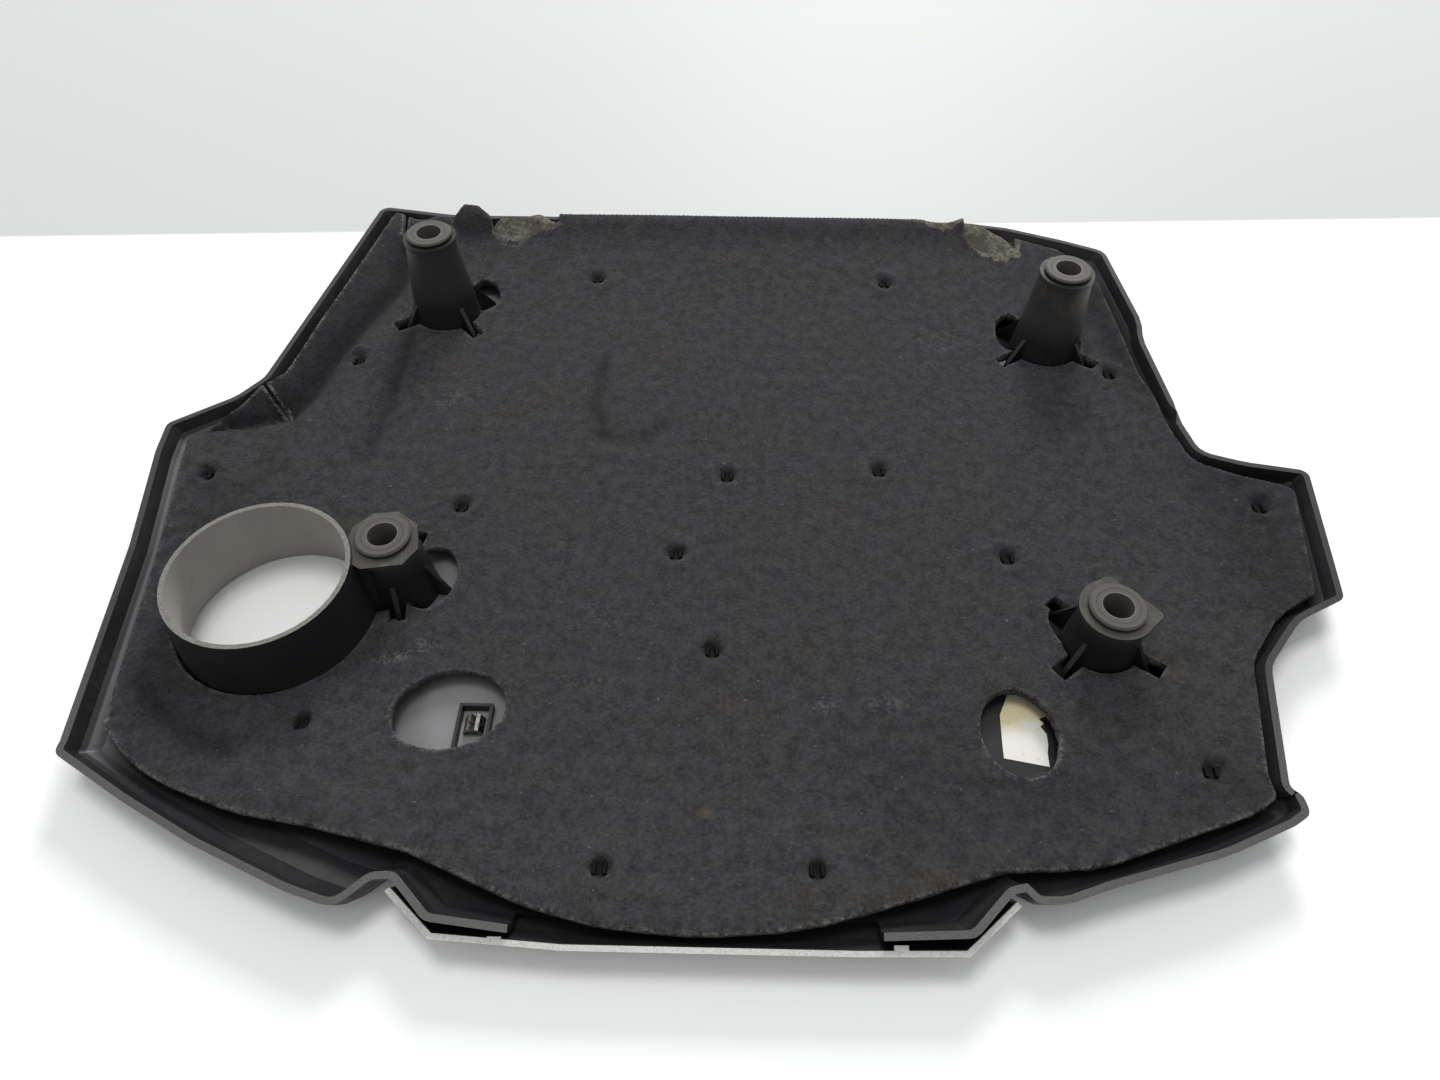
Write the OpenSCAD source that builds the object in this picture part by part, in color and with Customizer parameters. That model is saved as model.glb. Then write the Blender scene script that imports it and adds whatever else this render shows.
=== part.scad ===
// Car engine cover lying upside down, as it rests on a bench: decor face down, underside up.
// +X runs along the front trim, +Y points to the rear edge, +Z up. The decor face rests on z = 0.

/* [Shell] */
// Height of the rim above the decor face
rim_h = 22; // [19:0.5:26]
// Thickness of the moulded floor
floor_t = 2.6; // [2:0.1:3.2]
// Thickness of the rim wall
rim_t = 3; // [2.4:0.1:3.4]
// Share of the outline that is flat on the decor face
flat_share = 0.765; // [0.74:0.005:0.78]

/* [Filler collar] */
// Centre of the collar, left to right
collar_x = -205.5; // [-208:0.5:-203]
// Centre of the collar, front to rear
collar_y = -84; // [-86:0.5:-82]
// Height of the collar's top edge
collar_top = 43; // [38:0.5:48]
// Radius of the collar's bore
collar_bore_r = 38.3; // [37:0.1:39]
// Length of the straight part of the bore
collar_straight = 18; // [12:1:22]
// Wall of the collar at its top edge
collar_wall = 2.2; // [1.8:0.1:3]
// How much wider the collar is at the decor face than at its top
collar_flare = 5.5; // [3:0.5:7]

/* [Bosses] */
// Height of the two rear bosses
rear_boss_top = 64; // [56:0.5:70]
// Height of the front left boss
left_boss_top = 41; // [37:0.5:46]
// Height of the front right boss
right_boss_top = 37.5; // [34:0.5:42]
// Radius of the flange at a boss's top
boss_flange_r = 14.8; // [14.2:0.1:15.5]
// Thickness of that flange
boss_flange_t = 2.6; // [1.8:0.1:3.5]
// Radius of a boss just under its flange
boss_neck_r = 14.2; // [13.4:0.1:14.2]
// Radius that a boss gains for each millimetre down
boss_draft = 0.1; // [0.04:0.01:0.12]
// Thickness of the cross ribs
rib_t = 2.2; // [1.6:0.1:3]
// Reach of the cross ribs from a boss's axis
rib_reach = 31; // [27:0.5:33]
// Height of the cross ribs at a boss's wall
rib_top = 25; // [18:0.5:28]

/* [Grommets] */
// Radius of a grommet's face
grommet_face_r = 12.5; // [12:0.1:13]
// Height of a grommet's face above its boss
grommet_face_t = 2.6; // [1.8:0.1:3.4]
// Radius of the sleeve inside the boss
grommet_sleeve_r = 10; // [9.6:0.1:10.6]
// Length of the sleeve inside the boss
grommet_sleeve_l = 13; // [10:0.5:16]
// Radius of the bore for the ball stud
grommet_bore_r = 6.8; // [6.2:0.1:7.4]
// Gap between the sleeve and its boss
grommet_gap = 0.15; // [0.1:0.05:0.3]

/* [Insulation mat] */
// Height of the mat's upper face in the middle
mat_top = 13; // [12:0.5:15]
// How much higher the mat's upper face is at the rim
mat_rise = 8; // [7:0.5:8.5]
// Thickness of the mat
mat_t = 5; // [3.5:0.25:5.5]
// Thickness of the mat's pressed edge
mat_edge_t = 3; // [2.5:0.25:3.4]
// Gap round the collar and the bosses
mat_gap = 1; // [0.6:0.1:2]
// Width of the slots in the mat round the cross ribs
mat_slit = 8; // [6:0.5:9]
// Half width of the left window
left_window_a = 24.5; // [20:0.5:26]
// Half depth of the left window
left_window_b = 19.5; // [16:0.5:21]
// Half width of the right window
right_window_a = 16.3; // [13:0.5:18]
// Half depth of the right window
right_window_b = 21.5; // [18:0.5:23]

/* [Mat holders] */
// Radius of the post under each pair of prongs
post_r = 3.5; // [3:0.25:4.5]
// Thickness of a prong
prong_t = 1.1; // [0.8:0.1:1.4]
// Width of a prong
prong_w = 4; // [3:0.25:5]
// Distance between the two prongs of a pair
prong_pitch = 4.2; // [3.8:0.1:4.6]
// Gap round a prong in the mat
prong_gap = 0.4; // [0.3:0.05:0.6]
// Gap between a post and the mat
seat_gap = 0.3; // [0.2:0.05:0.5]

/* [Front trim] */
// Height of the trim's silver edge
trim_top = 19; // [17:0.5:20]
// Thickness of the trim
trim_t = 2.2; // [1.8:0.1:2.6]
// Length of the trim's tabs along its edge
trim_tab_l = 5.2; // [4:0.2:7]
// Gap between a tab and the shell's lip
trim_gap = 0.3; // [0.2:0.05:0.5]

/* [Pocket, clip and label] */
// Inner width of the pocket
pocket_w = 12; // [10:0.5:14]
// Inner length of the pocket
pocket_l = 26; // [22:0.5:30]
// Height of the pocket's frame above the floor
pocket_h = 4.4; // [3:0.2:5]
// Thickness of the pocket's frame
pocket_t = 1.4; // [1:0.1:2]
// Thickness of the spring clip's sheet
clip_t = 0.7; // [0.5:0.05:1]
// Width of the spring clip
clip_w = 8; // [6:0.5:9]
// Thickness of the paper label
label_t = 0.3; // [0.2:0.05:0.4]

/* [Hidden] */
$fn = 64;

// Corners of the rim's outline, anticlockwise from the rear left, as [x, y, corner radius]
rim_corners = [
    [-230, 235.4, 6], [-255.5, 66.5, 14], [-266, 51, 14], [-295.6, 29, 5], [-294, 9, 30],
    [-282.5, -54, 40], [-270, -157, 0], [-270.5, -162, 5], [-235, -182, 60], [-201.5, -199, 60],
    [-161, -216, 40], [-141, -222, 9], [-129.5, -211, 4], [-122.5, -210.5, 4], [-107, -225.8, 7],
    [-76, -229.4, 0], [60, -229.4, 0], [93.5, -227.8, 7], [109.5, -211.5, 4], [114, -210.5, 0],
    [118, -215, 5], [129, -214.8, 12], [147, -208.5, 40], [194, -195, 60], [223, -182.5, 8],
    [231, -177.5, 5], [230.5, -169, 4], [226.3, -167, 4], [232.5, -136, 60], [238, -109, 16],
    [259, -84.5, 30], [283.5, -72, 6], [295.6, 9, 5], [265, 14.5, 40], [244.5, 21.5, 10],
    [239.8, 47.5, 30], [241, 55, 30], [237.4, 112, 30], [240.7, 127.5, 30], [234.5, 198, 9],
    [209.5, 209.5, 30], [176.5, 222, 14], [150, 227, 40], [-133, 227, 40], [-178.6, 226.5, 60]
];

// Corners of the mat's outline, in the same order
mat_corners = [
    [-219.5, 228, 3], [-246.5, 72, 8], [-259, 48, 24], [-284, 25, 6], [-288, 21, 5],
    [-275.5, -53, 40], [-262, -150, 5], [-228, -171, 60], [-193.5, -183.5, 60], [-161, -189, 60],
    [-120, -199.5, 12], [-71, -219, 60], [-43, -226, 60], [-6, -228.5, 90], [30, -225.8, 90],
    [62, -216.5, 30], [108, -202, 16], [146, -199.5, 40], [213, -175.5, 30], [221.5, -169.5, 3],
    [221, -160, 4], [228, -127, 60], [232, -106, 20], [252, -80, 30], [273.5, -67, 6],
    [286.5, 0, 6], [262, 7, 20], [240, 16.5, 14], [233.5, 47, 30], [232, 108, 40],
    [228.5, 179, 12], [208, 202, 14], [182, 213, 10], [158, 221.7, 10], [-60, 221.7, 60],
    [-131, 221, 4], [-134, 214.5, 4], [-150, 212, 12], [-190, 221, 20]
];

boss_rear_left = [-170.5, 140];
boss_rear_right = [183.5, 115.5];
boss_front_left = [-155, -62];
boss_front_right = [170.5, -91.5];
collar_centre = [collar_x, collar_y];

// Directions of the cross ribs round each boss
rear_left_ribs = [40, 136, 218, 314];
rear_right_ribs = [45, 134, 210, 318];
front_left_ribs = [-6, 80, -78];
front_right_ribs = [40, 130, 219, 322];

// Middle of each pair of prongs that holds the mat
prong_places = [
    [-266, -3], [-212, 91], [-83, 171.5], [95, 171], [0, 7], [79, 12.5], [-24, -45], [-133.5, -17],
    [136.5, -44], [-5, -100.5], [-178, -142], [-45.5, -203], [37.5, -202], [200, -157.5],
    [266, -12.5], [214, 86]
];

// Centres of the two windows in the mat
left_window = [-115.5, -137];
right_window = [126, -139.4];
left_window_turn = 10;

// Oval openings beside the bosses, as [x, y, half width, half depth, turn]
boss_openings = [
    [-150, 154, 9, 15, 12], [165, 127, 8, 17, -8], [-139, -63, 12, 19, 0], [158, -85, 8, 13, 20]
];

// Slits cut through the mat, as [from, to, width]
mat_slits = [[[-262, 69], [-241, 47], 2.4], [[-213, 239], [-211, 209], 2.6]];

// Creases in the felt, as [from, to, half width, depth]
mat_creases = [
    [[-243, 50], [-205, 163], 3, 0.8], [[-205, 163], [-198, 215], 3, 1.2],
    [[-276, 30], [-244, 40], 3, 1.4], [[-262, -147], [-221, -115], 3, 1.2]
];

// Outlines of the two patches at the rear edge where the felt is worn down to its foam
worn_patches = [
    [[-152, 206], [-146, 201], [-138, 200], [-127, 208], [-112, 215], [-112, 233], [-160, 233]],
    [[146, 229], [148, 208], [158, 199], [171, 197], [180, 202], [182, 229]]
];
worn_depth = 2.2;

// Height of the bodies that cut holes right through the mat
tall = rim_h + 18;

// Dimple round each pair of prongs
dimple_depth = 1.6;
dimple_r = 2.6;

// Rings of the shell's outer and inner faces, as [share of the outline, inset, height]
outer_rings = [
    [flat_share, 0, 0], [0.855, 0, 1.5], [0.925, 0, 4.6], [0.968, 0, 9.4],
    [0.99, 0, rim_h - 6.4], [1, 0, rim_h]
];
inner_rings = [
    [1, rim_t, rim_h], [0.99, rim_t - 0.1, rim_h - 5.8], [0.968, rim_t - 0.3, 11.2],
    [0.925, rim_t - 0.6, floor_t + 4.4], [0.855, 1.5, floor_t + 1.6],
    [flat_share, 0.6, floor_t]
];
inner_face = [
    [flat_share - 0.002, floor_t], [0.849, floor_t + 1.6], [0.916, floor_t + 4.4], [0.958, 11.2],
    [0.979, rim_h - 5.8]
];

// Height of the mat's upper face against the distance from the rim's outline
mat_face = [
    [0, mat_top + mat_rise], [7, mat_top + mat_rise * 0.95], [20, mat_top + mat_rise * 0.7],
    [40, mat_top + mat_rise * 0.38], [65, mat_top + mat_rise * 0.12], [85, mat_top],
    [600, mat_top]
];

function unit(v) = v / norm(v);
function side(a, b) = a[0] * b[1] - a[1] * b[0];
function sweep(a, b) = let (d = b - a) d > 180 ? d - 360 : d < -180 ? d + 360 : d;

// Round one corner of an outline into a short arc
function corner_arc(before, corner, after) =
    let (
        here = [corner[0], corner[1]],
        r = corner[2],
        a = unit([before[0], before[1]] - here),
        b = unit([after[0], after[1]] - here),
        half = acos(max(-1, min(1, a * b))) / 2
    )
    r == 0 || half > 89 ? [here] :
    let (
        centre = here + unit(a + b) * r / sin(half),
        first = here + a * r / tan(half) - centre,
        last = here + b * r / tan(half) - centre,
        from = atan2(first[1], first[0]),
        turn = sweep(from, atan2(last[1], last[0])),
        steps = max(1, ceil(abs(turn) / 22))
    )
    [for (i = [0:steps]) centre + r * [cos(from + turn * i / steps), sin(from + turn * i / steps)]];

function rounded(corners) =
    let (n = len(corners))
    [for (i = [0:n - 1])
        each corner_arc(corners[(i + n - 1) % n], corners[i], corners[(i + 1) % n])];

// Inward direction at each point, longer at a sharp corner so that both walls keep their thickness
function inward(points) =
    let (n = len(points))
    [for (i = [0:n - 1])
        let (
            a = unit(points[i] - points[(i + n - 1) % n]),
            b = unit(points[(i + 1) % n] - points[i]),
            mitre = [-a[1] - b[1], a[0] + b[0]]
        )
        mitre / max(0.6, 1 + a * b)];

rim_outline = rounded(rim_corners);
rim_inward = inward(rim_outline);
mat_outline = rounded(mat_corners);

function segment_distance(p, a, b) =
    let (d = b - a, t = max(0, min(1, (p - a) * d / (d * d))))
    norm(p - a - d * t);
function rim_distance(p) =
    let (n = len(rim_outline))
    min([for (i = [0:n - 1]) segment_distance(p, rim_outline[i], rim_outline[(i + 1) % n])]);

// Distance from the middle to a point, as a share of the distance to the outline past that point
function rim_share(p) =
    let (
        n = len(rim_outline),
        d = unit(p),
        hits = [for (i = [0:n - 1])
            let (
                a = rim_outline[i],
                e = rim_outline[(i + 1) % n] - a,
                across = side(d, e),
                along = across == 0 ? -1 : -side(a, d) / side(e, d)
            )
            if (along >= 0 && along <= 1 && side(a, e) / across > 0) side(a, e) / across]
    )
    norm(p) / max(hits);

// The felt folds up along its rear left side, from a valley between two points with these heights
fold_from = [-243, 50];
fold_to = [-205, 163];
fold_low = [16, 13];
fold_slope = 0.36;
fold_reach = 60;

function fold_face(p) =
    let (
        length = norm(fold_to - fold_from),
        u = (fold_to - fold_from) / length,
        along = (p - fold_from) * u,
        out = side(u, p - fold_from)
    )
    lookup(along, [[0, fold_low[0]], [length, fold_low[1]]])
        + max(fold_slope * max(0, out), 0.3 * max(-along, along - length, -out - fold_reach, 0));

function shell_face(p) = lookup(rim_share(p), inner_face);
function mat_upper(p) = min(lookup(rim_distance(p), mat_face), fold_face(p));
function mat_lower(p) = mat_upper(p) - mat_t;

// Skin closed rings of points, all with the same number of points
module skin(rings) {
    n = len(rings[0]);
    k = len(rings);
    sides = [for (j = [0:k - 2]) for (i = [0:n - 1])
        each [
            [j * n + i, (j + 1) * n + i, (j + 1) * n + (i + 1) % n],
            [j * n + i, (j + 1) * n + (i + 1) % n, j * n + (i + 1) % n]
        ]];
    first = [for (i = [0:n - 1]) i];
    last = [for (i = [n - 1:-1:0]) (k - 1) * n + i];
    polyhedron([for (ring = rings) each ring], concat(sides, [first, last]), convexity = 8);
}

function ellipse_points(a, b) = [for (i = [0:10:350]) [a * cos(i), b * sin(i)]];

// Boss dimensions that its neighbours share
function boss_radius(top, z) = boss_neck_r + boss_draft * (top - boss_flange_t - z);
boss_core_r = grommet_sleeve_r + grommet_gap;
boss_core_floor = floor_t + 4;
collar_base_r = collar_bore_r + collar_wall + collar_flare;
web_shift = 5;
web_opening = 30;
mat_hole_r = collar_bore_r + collar_wall + collar_flare * (collar_top - mat_top) / collar_top;

// Lips of the shell stop here, and leave the front edge open between them
front_gap_left = -76;
front_gap_right = 60;
front_gap_depth = 11;
rim_front = 229.4;

function ring_points(share, inset, z) =
    [for (i = [0:len(rim_outline) - 1])
        let (p = rim_outline[i] * share + rim_inward[i] * inset) [p[0], p[1], z]];

// Skin rings round the middle, closed at both ends by triangles that meet on the z axis
module bowl(rings) {
    n = len(rings[0]);
    k = len(rings);
    sides = [for (j = [0:k - 2]) for (i = [0:n - 1])
        each [
            [j * n + i, (j + 1) * n + i, (j + 1) * n + (i + 1) % n],
            [j * n + i, (j + 1) * n + (i + 1) % n, j * n + (i + 1) % n]
        ]];
    ends = [for (i = [0:n - 1])
        each [
            [i, (i + 1) % n, k * n],
            [(k - 1) * n + (i + 1) % n, (k - 1) * n + i, k * n + 1]
        ]];
    polyhedron([for (ring = rings) each ring, [0, 0, rings[0][0][2]], [0, 0, rings[k - 1][0][2]]],
               concat(sides, ends), convexity = 8);
}

module tray() {
    bowl([for (ring = concat(outer_rings, inner_rings)) ring_points(ring[0], ring[1], ring[2])]);
}

// Height of the middle of the moulded skin at a point
function skin_middle(p) = shell_face(p) - floor_t / 2;

module ribs(place, top, angles, reach) {
    for (angle = angles) {
        away = [cos(angle), sin(angle)];
        start = boss_neck_r - 2;
        translate([place[0], place[1], 0])
            rotate([90, 0, angle])
                translate([0, 0, -rib_t / 2])
                    linear_extrude(height = rib_t)
                        polygon([[start, skin_middle(place + away * start)],
                                 [reach, skin_middle(place + away * reach)],
                                 [reach, shell_face(place + away * reach) + 1.5],
                                 [boss_radius(top, rib_top) - 0.5, rib_top], [start, rib_top]]);
    }
}

module boss_body(place, top, angles, reach) {
    foot = floor_t / 2 + 0.2;
    translate([place[0], place[1], foot])
        cylinder(h = top - boss_flange_t - foot + 0.001, r1 = boss_radius(top, foot),
                 r2 = boss_neck_r);
    ribs(place, top, angles, reach);
}

module boss_core(place, top) {
    translate([place[0], place[1], boss_core_floor])
        cylinder(h = top - boss_core_floor + 1, r = boss_core_r);
}

module round_flange(place, top) {
    translate([place[0], place[1], top - boss_flange_t])
        cylinder(h = boss_flange_t, r = boss_flange_r);
}

// Outline of the front left boss's many-sided pad, about the boss's axis
left_pad_outline = [
    [-15.5, 6], [-8, 14.5], [3, 16], [13.7, 8.5], [17, -5.7], [11.8, -15], [-6, -18], [-17, -12]
];

// Web between that boss and the collar: top under the pad, thickness of its ends at top and floor
web_top = left_boss_top - 3;
web_top_r = [9, 1.2];
web_floor_r = [11, 2];

module web_end(place, z, r) {
    translate([place[0], place[1], z])
        cylinder(h = 2, r = r, $fn = 32);
}

module left_pad() {
    translate([boss_front_left[0], boss_front_left[1], left_boss_top - boss_flange_t])
        linear_extrude(height = boss_flange_t)
            polygon(left_pad_outline);
    hull() {
        web_end(boss_front_left - [6, 4], web_top - 2, web_top_r[0]);
        web_end(collar_centre + [collar_bore_r + 1, 8], web_top - 2, web_top_r[1]);
        web_end(boss_front_left - [8, 6], floor_t - 0.5, web_floor_r[0]);
        web_end(collar_centre + [collar_bore_r + 6, 6], floor_t - 0.5, web_floor_r[1]);
    }
}

// D-shaped pad of the front right boss, straight on the side away from the middle
right_pad_turn = 43.5;

module right_pad() {
    straight = 13.2;
    translate([boss_front_right[0], boss_front_right[1], right_boss_top - boss_flange_t])
        rotate([0, 0, right_pad_turn])
            linear_extrude(height = boss_flange_t)
                union() {
                    intersection() {
                        circle(r = boss_flange_r + 1.4);
                        translate([-20, -20])
                            square([20 + straight, 40]);
                    }
                    polygon([[0, -16], [straight - 2, -16], [straight, -14], [straight, 12],
                             [straight - 2.5, 14], [0, 15]]);
                }
}

// The collar's foot is cut off on a slant that stays inside the moulded skin
collar_slant = 2.33;
collar_foot = 0.4;
under_l = 4 * collar_base_r;
under_w = 4 * collar_base_r;
under_h = 30;

module collar() {
    difference() {
        translate([collar_x, collar_y, 0])
            cylinder(h = collar_top, r1 = collar_base_r, r2 = collar_bore_r + collar_wall,
                     $fn = 96);
        translate([collar_x + collar_base_r, collar_y, collar_foot])
            rotate([0, collar_slant, 0])
                translate([-under_l * 0.75, -under_w / 2, -under_h])
                    cube([under_l, under_w, under_h]);
    }
}

// Straight bore at the collar's top, flared below it down to the decor face
module collar_way() {
    translate([collar_x, collar_y, collar_top - collar_straight])
        cylinder(h = collar_straight + 1, r = collar_bore_r, $fn = 96);
    translate([collar_x, collar_y, -1])
        cylinder(h = collar_top - collar_straight + 1, r1 = collar_bore_r + collar_flare,
                 r2 = collar_bore_r, $fn = 96);
}

module mat_post(p) {
    foot = shell_face(p) - 1.3;
    seat = mat_lower(p) - seat_gap - 0.5;
    translate([p[0], p[1], foot])
        cylinder(h = seat - foot, r = post_r, $fn = 24);
    for (s = [-1, 1]) {
        translate([p[0] + s * prong_pitch / 2 - prong_t / 2, p[1] - prong_w / 2, foot])
            cube([prong_t, prong_w, mat_upper(p) - foot - 0.6]);
    }
}

pocket_x = -107.4;
pocket_rear = -128;

module pocket_frame() {
    translate([pocket_x, pocket_rear, floor_t - 0.4])
        linear_extrude(height = pocket_h + 0.4)
            difference() {
                translate([-pocket_w / 2 - pocket_t, -pocket_l - pocket_t])
                    square([pocket_w + 2 * pocket_t, pocket_l + 2 * pocket_t]);
                translate([-pocket_w / 2, -pocket_l])
                    square([pocket_w, pocket_l]);
            }
}

module standing_features() {
    collar();
    boss_body(boss_rear_left, rear_boss_top, rear_left_ribs, rib_reach);
    boss_body(boss_rear_right, rear_boss_top, rear_right_ribs, rib_reach);
    boss_body(boss_front_left, left_boss_top, front_left_ribs, rib_reach - 6);
    boss_body(boss_front_right, right_boss_top, front_right_ribs, rib_reach - 4);
    round_flange(boss_rear_left, rear_boss_top);
    round_flange(boss_rear_right, rear_boss_top);
    left_pad();
    right_pad();
    for (p = prong_places) {
        mat_post(p);
    }
    pocket_frame();
}

module cover_shell() {
    color("#3b3c3b") {
        difference() {
            union() {
                difference() {
                    tray();
                    translate([front_gap_left, -rim_front - 5, -1])
                        cube([front_gap_right - front_gap_left, 5 + front_gap_depth, rim_h + 2]);
                }
                standing_features();
            }
            boss_core(boss_rear_left, rear_boss_top);
            boss_core(boss_rear_right, rear_boss_top);
            boss_core(boss_front_left, left_boss_top);
            boss_core(boss_front_right, right_boss_top);
            collar_way();
        }
    }
}

// Path of the trim's silver edge, left to right
trim_path = [[-124.5, -214.2], [-105, -231.2], [-56, -234.3], [51, -234.3], [91, -233.4],
             [112.5, -214.8]];
// Section of the trim, as [distance in from the silver edge, height under it]
trim_section = [[0, 0], [2.6, 6.4], [8, 11.6], [16, 15.6], [24, 17.2]];
// Middle of each tab along the trim, and how deep it sits under the silver edge
trim_tabs = [-81, 66.5];
trim_tab_t = 1.8;
trim_tab_drop = 0.2;
trim_tab_front = 231.8;

module front_trim() {
    n = len(trim_path);
    dirs = [for (i = [0:n - 1])
        let (
            a = unit(trim_path[max(1, i)] - trim_path[max(1, i) - 1]),
            b = unit(trim_path[min(n - 1, i + 1)] - trim_path[min(n - 1, i + 1) - 1]),
            m = [-a[1] - b[1], a[0] + b[0]]
        )
        m / (1 + a * b)];
    under = [for (s = trim_section) [s[0], trim_top - s[1]]];
    above = [for (i = [len(trim_section) - 1:-1:0])
        [trim_section[i][0] + trim_t * (i == 0 ? 1 : 0.75),
         trim_top - trim_section[i][1] + (i == 0 ? 0 : trim_t * 0.7)]];
    section = concat(under, above);
    color("#c9c9c4") {
        skin([for (i = [0:n - 1])
            [for (s = section)
                let (p = trim_path[i] + dirs[i] * s[0]) [p[0], p[1], s[1]]]]);
        for (x = trim_tabs) {
            translate([x - trim_tab_l / 2, -trim_tab_front, trim_top - trim_tab_drop - trim_tab_t])
                cube([trim_tab_l, trim_tab_front - rim_front - trim_gap, trim_tab_t]);
        }
    }
}

module grommet(place, top) {
    color("#5c5b57")
        translate([place[0], place[1], top])
            rotate_extrude()
                polygon([
                    [grommet_bore_r, -grommet_sleeve_l],
                    [grommet_bore_r, grommet_face_t],
                    [grommet_face_r - 0.8, grommet_face_t],
                    [grommet_face_r, grommet_face_t - 0.8],
                    [grommet_face_r, 0.9],
                    [grommet_face_r - 1, 0],
                    [grommet_sleeve_r, 0],
                    [grommet_sleeve_r, 0.5 - grommet_sleeve_l],
                    [grommet_sleeve_r - 0.5, -grommet_sleeve_l]
                ]);
}

module grommet_rear_left() {
    grommet(boss_rear_left, rear_boss_top);
}

module grommet_rear_right() {
    grommet(boss_rear_right, rear_boss_top);
}

module grommet_front_left() {
    grommet(boss_front_left, left_boss_top);
}

module grommet_front_right() {
    grommet(boss_front_right, right_boss_top);
}

// Felt sheet between its upper and lower faces, with a thinner pressed edge
mat_shares = [0.6, 0.7, 0.8, 0.88, 0.94, 0.985];

module felt() {
    n = len(mat_outline);
    skin(concat(
        [for (s = mat_shares)
            [for (p = mat_outline) [p[0] * s, p[1] * s, mat_lower(p * s)]]],
        [[for (p = mat_outline) [p[0], p[1], mat_upper(p) - mat_edge_t]]],
        [[for (p = mat_outline) [p[0], p[1], mat_upper(p) - 0.7]]],
        [for (i = [len(mat_shares) - 1:-1:0])
            let (s = mat_shares[i])
            [for (p = mat_outline) [p[0] * s, p[1] * s, mat_upper(p * s)]]]));
}

module slot(from, to, w) {
    d = to - from;
    translate([from[0], from[1], 0])
        rotate([0, 0, atan2(d[1], d[0])])
            translate([0, -w / 2, -1])
                cube([norm(d), w, tall]);
}

module boss_aperture(place, top, angles, reach) {
    r = boss_radius(top, mat_top - mat_t) + mat_gap;
    translate([place[0], place[1], 0]) {
        cylinder(h = tall, r = r);
        for (angle = angles) {
            rotate([0, 0, angle])
                translate([0, -mat_slit / 2, 0])
                    cube([reach, mat_slit, tall]);
        }
    }
}

module oval_hole(centre, a, b, turn) {
    translate([centre[0], centre[1], 0])
        rotate([0, 0, turn])
            linear_extrude(height = tall)
                polygon(ellipse_points(a, b));
}

module dimple(p) {
    translate([p[0], p[1], mat_upper(p) - dimple_depth])
        cylinder(h = dimple_depth * 2, r1 = dimple_r, r2 = dimple_r * 3.4, $fn = 24);
    for (s = [-1, 1]) {
        translate([p[0] + s * prong_pitch / 2 - prong_t / 2 - prong_gap,
                   p[1] - prong_w / 2 - prong_gap, 0])
            cube([prong_t + 2 * prong_gap, prong_w + 2 * prong_gap, tall]);
    }
}

// Shallow groove along the upper face between two points
module crease(from, to, w, depth) {
    steps = 6;
    d = unit(to - from);
    n = [-d[1], d[0]];
    skin([for (i = [0:steps])
        let (p = from + (to - from) * i / steps, z = mat_upper(p))
        [[p[0], p[1], z - depth], [p[0] + n[0] * w, p[1] + n[1] * w, z + 0.6],
         [p[0] - n[0] * w, p[1] - n[1] * w, z + 0.6]]]);
}

module worn_patch(points, depth) {
    z = min([for (p = points) mat_upper(p)]);
    translate([0, 0, z - depth])
        linear_extrude(height = tall)
            polygon(points);
}

module insulation_mat() {
    color("#34343a") {
        difference() {
            union() {
                felt();
                turned_corner();
            }
            translate([collar_x, collar_y, 0])
                cylinder(h = tall, r = mat_hole_r + mat_gap, $fn = 96);
            boss_aperture(boss_rear_left, rear_boss_top, rear_left_ribs, rib_reach + 2);
            boss_aperture(boss_rear_right, rear_boss_top, rear_right_ribs, rib_reach + 2);
            boss_aperture(boss_front_left, left_boss_top, front_left_ribs, rib_reach - 3);
            boss_aperture(boss_front_right, right_boss_top, front_right_ribs, rib_reach - 2);
            slot(boss_front_left - [0, web_shift], collar_centre + [0, web_shift], web_opening);
            for (o = boss_openings) {
                oval_hole([o[0], o[1]], o[2], o[3], o[4]);
            }
            oval_hole(left_window, left_window_a, left_window_b, left_window_turn);
            oval_hole(right_window, right_window_a, right_window_b, 0);
            for (p = prong_places) {
                dimple(p);
            }
            for (c = mat_slits) {
                slot(c[0], c[1], c[2]);
            }
            for (c = mat_creases) {
                crease(c[0], c[1], c[2], c[3]);
            }
            for (points = worn_patches) {
                worn_patch(points, worn_depth);
            }
        }
    }
}

// Turned-up corner of the felt behind the rear left boss
module turned_corner() {
    hull() {
        polyhedron(
            [[-183, 208, 15], [-179, 221, 16], [-150, 218, 16], [-146, 206, 15],
             [-178, 215, 24], [-172, 223, 27], [-163, 222, 27], [-157, 213, 25]],
            [[0, 1, 2, 3], [4, 7, 6, 5], [0, 4, 5, 1], [1, 5, 6, 2], [2, 6, 7, 3], [3, 7, 4, 0]]);
    }
}

module spring_clip() {
    h = 4.2;
    outer = [[-4.4, 0], [-4.4, 0.9], [-2.6, h], [-1.2, h + 0.6], [0, 2.2], [1.2, h + 0.6],
             [2.6, h], [4.4, 0.9], [4.4, 0]];
    inner = [[4.4 - clip_t, 0], [2.2, h - 1.2], [1.2, h - 1], [0, 0.9], [-1.2, h - 1],
             [-2.2, h - 1.2], [clip_t - 4.4, 0]];
    color("#b9b9b4")
        translate([pocket_x, pocket_rear - 4, floor_t])
            rotate([90, 0, 0])
                linear_extrude(height = clip_w)
                    polygon(concat(outer, inner));
}

// Torn outline of the label
label_points = [
    [128, -112.6], [138.4, -114.6], [139.2, -118.6], [143, -121.5], [142.4, -125], [138.8, -126.6],
    [140.6, -128.8], [138.8, -130.4], [140.8, -134], [140.6, -139], [139.6, -143],
    [139.2, -149.6], [120.5, -146], [120.8, -140], [122, -125]
];

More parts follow.
